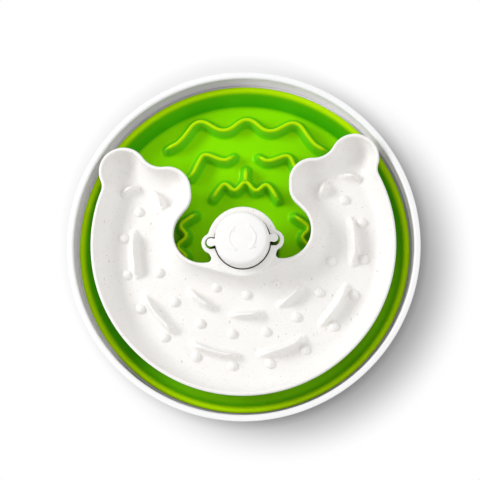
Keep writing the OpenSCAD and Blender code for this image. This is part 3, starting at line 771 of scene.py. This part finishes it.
def insert():
    slope = atan2(INSERT_Z - DISH_Z - BEAD_W / 2, DISH_SLOPE_W)
    toe = DISH_FILLET_R * tan(slope / 2)
    under_r = DISH_R + INSERT_WALL * tan(slope / 2)
    column_r = COLUMN_CORE_R + COLUMN_WALL
    shoulder_r = COLLAR_R + SHOULDER_W
    flare = shoulder_r - column_r
    profile = [(COLUMN_CORE_R, DISH_Z - INSERT_WALL), (under_r, DISH_Z - INSERT_WALL)]
    profile += [(INSERT_WALL_R, INSERT_Z - BEAD_H - INSERT_WALL), (INSERT_WALL_R, INSERT_Z - BEAD_H)]
    profile += [(INSERT_R - BEAD_CHAMFER, INSERT_Z - BEAD_H), (INSERT_R, INSERT_Z - BEAD_H + BEAD_CHAMFER)]
    profile += arc(INSERT_R - BEAD_W / 2, INSERT_Z - BEAD_W / 2, BEAD_W / 2, 0, 118, 14)
    profile += [(DISH_TOP_R + out, INSERT_Z + up) for out, up in BEAD_RUN]
    profile += arc(DISH_R - toe, DISH_Z + DISH_FILLET_R, DISH_FILLET_R, degrees(slope) - 90, -90, 10)
    profile += arc(column_r + COLUMN_FILLET_R, DISH_Z + COLUMN_FILLET_R, COLUMN_FILLET_R, -90, -180, 8)
    profile += [(column_r, SHOULDER_Z - SHOULDER_T - flare), (shoulder_r, SHOULDER_Z - SHOULDER_T)]
    profile += [(shoulder_r, SHOULDER_Z), (COLLAR_R, SHOULDER_Z), (COLLAR_R, COLLAR_Z - COLLAR_CHAMFER)]
    profile += [(COLLAR_R - COLLAR_CHAMFER, COLLAR_Z), (BORE_R, COLLAR_Z), (BORE_R, BORE_Z)]
    profile += [(COLUMN_CORE_R, BORE_Z - COLUMN_CORE_R + BORE_R)]
    dish = build("dish", [lathe(profile)], LIME)

    def path(shares):
        return smooth_path([(x * DISH_R, y * DISH_R) for x, y in shares], RIDGE_ROUNDING, RIDGE_SPACING)

    zig, hook, crown = path(whole(ZIG)), path(HOOK), path(whole(CROWN))
    peak = crown[len(crown) // 2]
    stem = path([STEM_FOOT, tuple(peak / DISH_R)])
    lines = [zig, hook, hook * np.array([-1, 1]), crown, stem]
    profile = ridge_profile(RIDGE_H, RIDGE_CREST_W, RIDGE_DRAFT, RIDGE_FILLET_R)
    patch = ridge_patch(lines, DISH_Z, profile, RIDGE_DROOP, RIDGE_DROOP_L)
    quarter = build("ridges", [patch], LIME, sharp=60)
    mesh = round_the_axis(quarter, copies=4, radius=0, first=DISH_REST, step=90, finish=LIME)
    bpy.data.objects.remove(quarter)
    return joined("insert_dish", [mesh], [dish], LIME)


# Tray

NOTCH_EXTRA, BUMP_SHARE, BUMP_BLEND_R = 0.4, 0.66, 3.5
HUB_R = HUB_HOLE_R + HUB_RING_W
NOTCH_R = EAR_R + EAR_GAP + NOTCH_EXTRA
BUMP_R = EAR_R + EAR_GAP + BUMP_SHARE * HUB_RING_W
HOLE_EDGE_R = 0.35
# Where the webs run on out of sight: under the plate, round it, and under the shell's rim
WEB_END_R, WEB_SUNK, WEB_TURN, WEB_UNDER = 2.6, 3, -25, 1.05
TRAY_FLOOR_Z = TRAY_Z - TRAY_DEPTH
# Rows of nubs: share of the tray's radius, count, degrees from one to the next
NUB_ROWS = ((0.800, 12, 17.7), (0.591, 8, 21.7), (0.329, 3, 36.5))
NUB_MIDDLE, NUB_WIDER, NUB_DOME, NUB_FLARE, NUB_FALL = -89.5, 1.2, 80, 1.02, 0.9
# Out and up from the dome's lower edge, the second as a share of that edge's height
NUB_FOOT = ((0.16, 0.45), (0.45, 0.16), (0.85, 0.04))
NUB_SKIRT_W, NUB_SKIRT_DROP = 1.3, 0.05
# Rows of fins: share of the tray's radius, count, degrees from one to the next, half a fin's degrees
FIN_ROWS = ((0.733, 6, 35.5, 11.6), (0.465, 3, 40, 11.4))
FIN_MIDDLE, FIN_EXTRA_DRAFT, FIN_FILLET_R, FIN_SPACING = -90, 4, 3.0, 0.7
FIN_DROOP, FIN_DROOP_L = 0.7, 6.5
# The lobe's nub and the fins round it, as shares of the tray's radius and spans in degrees
LOBE_NUB, LOBE_FIN_R, LOBE_FINS = (0.688, 0.269), 0.161, ((52, 90), (132, 170))


def tray_circles():
    """The chain of circles round the C: its edge, then one side's tip, lobe and notch, hub, other side."""
    def at(x, y, r, turn):
        return (x * TRAY_R, y * TRAY_R, r * TRAY_R, turn)

    edge = (0, 0, TRAY_R, 1)
    tip, top = at(0.767, 0.521, 0.160, 1), at(0.480, 0.381, 0.1545, 1)
    low, notch = at(0.470, 0.342, 0.147, 1), at(0.2595, 0.070, 0.1916, -1)
    side = [nestle(tip, edge, 0.093 * TRAY_R), tip, nestle(top, tip, 0.149 * TRAY_R), top, low, notch]
    hub = (0, 0, HUB_R - TRAY_RIM_W, -1)
    return [edge] + side + [hub] + [(-x, y, r, turn) for x, y, r, turn in side[::-1]]


TRAY_CIRCLES = tray_circles()
LOW_CIRCLE, NOTCH_CIRCLE, HUB_CIRCLE = TRAY_CIRCLES[5:8]
SHELL_W = min(TRAY_RIM_W + COVE_W, LOW_CIRCLE[2] - RUN_GAP)


def tray_shell():
    """The coved shell: up its outside, over the round rim and down the cove to the floor."""
    cove_in = SHELL_W - TRAY_RIM_W
    top_z = TRAY_FLOOR_Z + COVE_H
    half = TRAY_RIM_W / 2
    rows = []
    for a in np.linspace(pi / 2, 0, 12):
        rows.append((SHELL_W * (1 - cos(a)), top_z - (COVE_H + TRAY_FLOOR_T) * sin(a)))
    for a in np.linspace(pi, 0, 13):
        rows.append((half * (1 + cos(a)), TRAY_Z - half + half * sin(a)))
    for a in np.linspace(0, pi / 2, 16):
        rows.append((TRAY_RIM_W + cove_in * (1 - cos(a)), top_z - COVE_H * sin(a)))
    rings = [[(x, y, z) for x, y in belt(TRAY_CIRCLES, inset)] for inset, z in rows]
    return skin(rings)


def hub_plate():
    """The plate round the hub with a bump past each ear notch, and the keyhole through it."""
    hub = (0, 0, HUB_R, 1)
    east, west = (EAR_X, 0, BUMP_R, 1), (-EAR_X, 0, BUMP_R, 1)
    outer = []
    for bump in (west, east):
        outer += [hub, nestle(bump, hub, BUMP_BLEND_R), bump, nestle(hub, bump, BUMP_BLEND_R)]
    e = HUB_EDGE_R
    rows = [(0, HUB_UNDER_Z)] + [(e - e * cos(a), HUB_Z - e + e * sin(a)) for a in np.linspace(0, pi / 2, 7)]
    rings = [[(x, y, z) for x, y in belt(outer, inset)] for inset, z in rows]
    hole = keyhole(rings[0])
    for share, z in ((1, HUB_Z), (0.3, HUB_Z - 0.1), (0, HUB_Z - HOLE_EDGE_R), (0, HUB_UNDER_Z)):
        grow = 1 + HOLE_EDGE_R * share / HUB_HOLE_R
        rings.append([(x * grow, y * grow, z) for x, y in hole])
    return skin(rings, closed=True)


def hub_web():
    """The webs that fill the corners between notch, hub and shell, each with a round inner end."""
    nx, ny, nr = NOTCH_CIRCLE[:3]
    half = TRAY_RIM_W / 2
    # The middle of the round end, which touches the notch from inside and the hub from outside
    d, ra, rb = hypot(nx, ny), nr - WEB_END_R, HUB_R + WEB_END_R
    u = (rb * rb - ra * ra + d * d) / (2 * d)
    h = sqrt(rb * rb - u * u)
    cx, cy = (u * nx + h * ny) / d, (u * ny - h * nx) / d
    to_hub = degrees(atan2(-cy, -cx))
    to_notch = degrees(atan2(cy - ny, cx - nx))
    f = heading(NOTCH_CIRCLE, HUB_CIRCLE)
    back = (f + 90 - to_notch) % 360
    way = (cos(radians(f)), sin(radians(f)))
    near = (HUB_R - WEB_SUNK) / hypot(cx, cy)
    hub_end = (-HUB_CIRCLE[2] * way[1], HUB_CIRCLE[2] * way[0])
    shell_end = (nx - nr * way[1], ny + nr * way[0])
    # The sides that run on inside the plate and the shell
    hidden = [(cx * near, cy * near), turned([(cx * near, cy * near, 0)], WEB_TURN)[0][:2]]
    under = WEB_UNDER * half
    hidden += [(x - under * way[1], y + under * way[0]) for x, y in (hub_end, shell_end)]
    rings = []
    for a in [None] + list(np.linspace(0, pi / 2, 7)):
        grow = 0 if a is None else half * (1 - cos(a))
        z = HUB_UNDER_Z if a is None else TRAY_Z - half + half * sin(a)
        outline = arc(nx, ny, nr + grow, to_notch + back, to_notch, 24)
        outline += arc(cx, cy, WEB_END_R + grow, to_notch, to_hub - 360, 14)[1:] + hidden
        rings.append([(x, y, z) for x, y in outline])
    other = [[(-x, y, z) for x, y, z in ring[::-1]] for ring in rings]
    return [skin(rings), skin(other)]


def keyhole(outer):
    """The round hole with its two ear notches, one point for each point of the plate's edge."""
    points = []
    for x, y, z in outer:
        a = atan2(y, x)
        r = HUB_HOLE_R
        reach = abs(EAR_X * sin(a))
        if reach < NOTCH_R:
            r = max(r, abs(EAR_X * cos(a)) + sqrt(NOTCH_R ** 2 - reach ** 2))
        points.append((r * cos(a), r * sin(a)))
    return points


def nub_form():
    r = NUB_WIDER * NUB_W / 2
    dome = []
    for a in np.linspace(0, radians(NUB_DOME), 9):
        dome.append((r * NUB_FLARE * sin(a), NUB_H - r * (1 - cos(a)) * NUB_FALL))
    x, z = dome[-1]
    foot = [(x + out, z * share) for out, share in NUB_FOOT] + [(x + NUB_SKIRT_W, -NUB_SKIRT_DROP)]
    points, faces = lathe((dome + foot)[::-1], NUB_TURN_STEPS)
    points = [(x, y, TRAY_FLOOR_Z + z) for x, y, z in points]
    return build("nub", [(points, faces)], TRAY_STRAW, sharp=70)


def fin_form(r, half, cx=0, cy=0, middle=0):
    n = max(8, int(r * radians(2 * half) / FIN_SPACING))
    line = np.array(arc(cx, cy, r, middle - half, middle + half, n))
    profile = ridge_profile(FIN_H, FIN_CREST_W, FIN_DRAFT + FIN_EXTRA_DRAFT, FIN_FILLET_R)
    patch = ridge_patch([line], TRAY_FLOOR_Z, profile, FIN_DROOP, FIN_DROOP_L)
    return build("fin", [patch], TRAY_STRAW, sharp=60)


def tray():
    shell = build("shell", [tray_shell()], TRAY_STRAW, sharp=50)
    plate = build("plate", [hub_plate()], TRAY_STRAW, sharp=40)
    web = build("web", hub_web(), TRAY_STRAW, sharp=50)
    nub = nub_form()
    meshes = []
    for share, count, pitch in NUB_ROWS:
        first = NUB_MIDDLE - pitch * (count - 1) / 2
        meshes.append(round_the_axis(nub, count, share * TRAY_R, first, pitch, TRAY_STRAW))
    lobe_x, lobe_y = (share * TRAY_R for share in LOBE_NUB)
    lobe_a = degrees(atan2(lobe_y, lobe_x))
    meshes.append(round_the_axis(nub, 2, hypot(lobe_x, lobe_y), lobe_a, 180 - 2 * lobe_a, TRAY_STRAW))
    bpy.data.objects.remove(nub)
    for share, count, pitch, half in FIN_ROWS:
        fin = fin_form(share * TRAY_R, half)
        first = FIN_MIDDLE - pitch * (count - 1) / 2
        meshes.append(round_the_axis(fin, count, 0, first, pitch, TRAY_STRAW))
        bpy.data.objects.remove(fin)
    lobe_fins = []
    for side in (1, -1):
        for a, b in LOBE_FINS:
            middle = (a + b) / 2 if side > 0 else 180 - (a + b) / 2
            lobe_fins.append(fin_form(LOBE_FIN_R * TRAY_R, (b - a) / 2, side * lobe_x, lobe_y, middle))
    return joined("tray_dish", meshes, [shell, plate, web] + lobe_fins, TRAY_STRAW, TRAY_REST)


# Knob

KNOB_DRAFT, CROWN_H, CROWN_DIP = 2, 0.6, 0.45
SPIGOT_WALL, SPIGOT_CHAMFER, SPIGOT_TIP_H = 2, 0.5, 2.4
SNAP_W, SNAP_GAP = 0.8, 0.35
EAR_OFF_LINE, EAR_UNDERCUT, EAR_EDGE_R, EAR_CROWN = 0.4, 1.1, 0.5, 0.05
# The ear's underside past its stem: steps in from the stem or the edge, and down from the top
EAR_UNDERSIDE = (1.6, (0.3, 1.4))
# The neck: steps down from the ear's top, and its width there as a multiple of its foot's
NECK_SHARE, NECK_LEVELS = 0.8, ((1.5, 1), (1.3, 1.6), (EAR_EDGE_R, 1.6), (0, 1.45))
# The turn arrows: relief, radius, half width, half the head's width, span of the band and tip in degrees
RELIEF, ARROW_R, ARROW_HALF_W, ARROW_HEAD = 0.3, 9.2, 0.75, 2.3
ARROW_FROM, ARROW_TO, ARROW_TIP = -62, 38, 24
# The arrow's layers: how much wider than its top, and height
ARROW_LAYERS = ((0.35, -0.25), (0.25, 0.08), (0.1, 0.24), (0, RELIEF))
HEAD_SPREAD, BACK_SPREAD, TIP_SPREAD = 1.6, 0.5, 2.4


def knob():
    top_r = KNOB_R - (KNOB_Z - HUB_Z) * tan(radians(KNOB_DRAFT))
    wall_r = KNOB_R - KNOB_WALL
    skirt_z = COLLAR_Z + FACE_GAP
    cx = top_r - KNOB_EDGE_R
    cap_z = KNOB_Z - RELIEF + CROWN_DIP * (ARROW_R / cx) ** 2
    cz = cap_z - CROWN_H - KNOB_EDGE_R
    roof = KNOB_Z - CROWN_H - KNOB_WALL
    spigot_r = BORE_R - RUN_GAP
    snap_r, snap_z = spigot_r + SNAP_W, BORE_Z - SNAP_GAP
    spigot_z = snap_z - SNAP_W - SPIGOT_TIP_H
    profile = [(0, roof), (spigot_r - SPIGOT_WALL, roof), (spigot_r - SPIGOT_WALL, spigot_z)]
    profile += [(spigot_r - SPIGOT_CHAMFER, spigot_z), (snap_r, snap_z - 2 * SNAP_W)]
    profile += [(snap_r, snap_z - SNAP_W), (spigot_r, snap_z), (spigot_r, roof)]
    profile += [(wall_r, roof), (wall_r, skirt_z), (KNOB_R, skirt_z)]
    profile += arc(cx, cz, KNOB_EDGE_R, KNOB_DRAFT, 84, 12)
    profile += [(cx * u, cap_z - CROWN_DIP * u * u) for u in np.linspace(0.9, 0, 7)]
    points, faces = lathe(profile)
    parts = [(turned(points, KNOB_REST), faces)]
    arrow = turn_arrow(KNOB_Z - RELIEF)
    for turn, up in ((KNOB_REST, EAR_OFF_LINE), (KNOB_REST + 180, -EAR_OFF_LINE)):
        parts += [(turned(p, turn), f) for p, f in ear(up) + [arrow]]
    return build("turn_knob", parts, KNOB_WHITE, sharp=40)


def ear(up):
    """A round ear on a thinner stem, and the neck that joins it to the knob."""
    z0 = HUB_Z + 4 * FACE_GAP
    e, stem_r, top = EAR_EDGE_R, EAR_R - EAR_UNDERCUT, z0 + EAR_T
    under, (edge_in, edge_down) = EAR_UNDERSIDE
    rim = [(stem_r, top - under), (EAR_R - edge_in, top - edge_down)]
    rim += arc(EAR_R - e, top - e, e, 0, 90, 5) + [(0, top + EAR_CROWN)]
    disc, faces = lathe([(0, z0), (stem_r, z0)] + rim, SMALL_TURN_STEPS)
    disc = [(x + EAR_X, y + up, z) for x, y, z in disc]
    w = NECK_SHARE * stem_r
    x0, x1 = KNOB_R - KNOB_WALL / 2, EAR_X
    outline = [(x0, -w), (x1, -w), (x1, w), (x0, w)]
    levels = [(z0, 1)] + [(top - down, wide) for down, wide in NECK_LEVELS]
    neck = skin([[(x, y * wide + up, z) for x, y in outline] for z, wide in levels])
    return [(disc, faces), neck]


def turn_arrow(z):
    """A curved arrow that shows which way the knob turns, in faint relief."""
    r = ARROW_R
    rings = []
    for wide, up in ARROW_LAYERS:
        half, head = ARROW_HALF_W + wide, ARROW_HEAD + HEAD_SPREAD * wide
        far = degrees(wide / r)
        start, end = ARROW_FROM - far, ARROW_TO + BACK_SPREAD * far
        band = arc(0, 0, r + half, end, start, 20)
        back = arc(0, 0, r - half, start, end, 20)
        point = ARROW_TO + ARROW_TIP + TIP_SPREAD * far
        tip = [polar(r - head, end), polar(r, point), polar(r + head, end)]
        rings.append([(x, -y, z + up) for x, y in band + back + tip])
    return skin(rings)


def polar(r, a):
    return r * cos(radians(a)), r * sin(radians(a))


# Assembly

def assemble():
    shell = bowl()
    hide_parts("bowl")
    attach(shell, "bowl")
    for i, foot in enumerate(feet()):
        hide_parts(f"foot_{i + 1}")
        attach(foot, "bowl")
    for piece, node, slot in ((insert(), "insert", "insert_plastic"), (tray(), "tray", "tray_plastic"),
                              (knob(), "knob", "knob_plastic")):
        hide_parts(node)
        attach(piece, node)


assemble()


# Floor and light

FLOOR_R = 4000
# A painted contact shadow makes the floor darker within an oval round the bowl: its stretch, middle, and
# edges of the darker part
CONTACT_SHADE_STRETCH, CONTACT_SHADE_MIDDLE = 1.03, (-2, 13)
CONTACT_SHADE_OUTER_R, CONTACT_SHADE_INNER_R = 143, 132
# The shadow shows within a circle and fades to plain white round it
SHADOW_MIDDLE, SHADOW_R, WHITE_R = (20, -4.5), 107, 151
SKY_STRENGTH = 0.70


def floor_finish():
    """A matt floor with a painted contact shadow close to the bowl, that the camera sees as plain white away
    from the shadow.
    """
    look = Look("floor", roughness=0.9)
    look.shade("Specular IOR Level", 0)

    def from_middle(x, middle):
        right = look.math("SUBTRACT", x, middle[0] * MM)
        up = look.math("SUBTRACT", look.y, middle[1] * MM)
        return look.distance(right, up)

    # Painted contact shadow close to the bowl, in both the floor's colour and its glow
    near = from_middle(look.product(look.x, CONTACT_SHADE_STRETCH), CONTACT_SHADE_MIDDLE)
    contact_shade = look.between(near, CONTACT_SHADE_OUTER_R, CONTACT_SHADE_INNER_R, "LINEAR")
    look.shade("Base Color", look.mixed(contact_shade, FLOOR_TONE, CONTACT_SHADE_TONE))
    glow = look.node("Emission", {"Color": look.mixed(contact_shade, FLOOR_GLOW, CONTACT_SHADE_GLOW)})[0]
    away = look.between(from_middle(look.x, SHADOW_MIDDLE), SHADOW_R, WHITE_R)
    seen = look.product(look.node("LightPath", {})["Is Camera Ray"], away)
    surface = look.node("MixShader", {0: seen, 1: look.body.outputs[0], 2: glow})[0]
    look.give(look.nodes["Material Output"].inputs["Surface"], surface)
    return look.finish


def floor():
    r = FLOOR_R
    corners = [(-r, -r, 0), (r, -r, 0), (r, r, 0), (-r, r, 0)]
    ground = build("floor", [(corners, [(0, 1, 2, 3)])], floor_finish())


def lamp(name, azimuth, height, distance, wide, tall, watts):
    """An area lamp that looks at the origin, placed by degrees and metres."""
    data = bpy.data.lights.new(name, "AREA")
    data.shape = "RECTANGLE"
    data.size, data.size_y = wide, tall
    data.energy = watts
    light = bpy.data.objects.new(name, data)
    a, e = radians(azimuth), radians(height)
    away = Vector((cos(a) * cos(e), sin(a) * cos(e), sin(e)))
    light.location = away * distance
    light.rotation_euler = (-away).to_track_quat("-Z", "Y").to_euler()
    bpy.context.scene.collection.objects.link(light)


def light_it():
    world = bpy.data.worlds.new("studio")
    world.use_nodes = True
    sky = world.node_tree.nodes["Background"]
    sky.inputs["Color"].default_value = (*WHITE, 1)
    sky.inputs["Strength"].default_value = SKY_STRENGTH
    bpy.context.scene.world = world
    lamp("key", azimuth=163, height=38, distance=1.2, wide=0.6, tall=0.26, watts=7.6)
    lamp("fill", azimuth=-5, height=42, distance=1.5, wide=1.2, tall=1.2, watts=3.2)


floor()
light_it()
bpy.context.scene.view_settings.view_transform = "Standard"
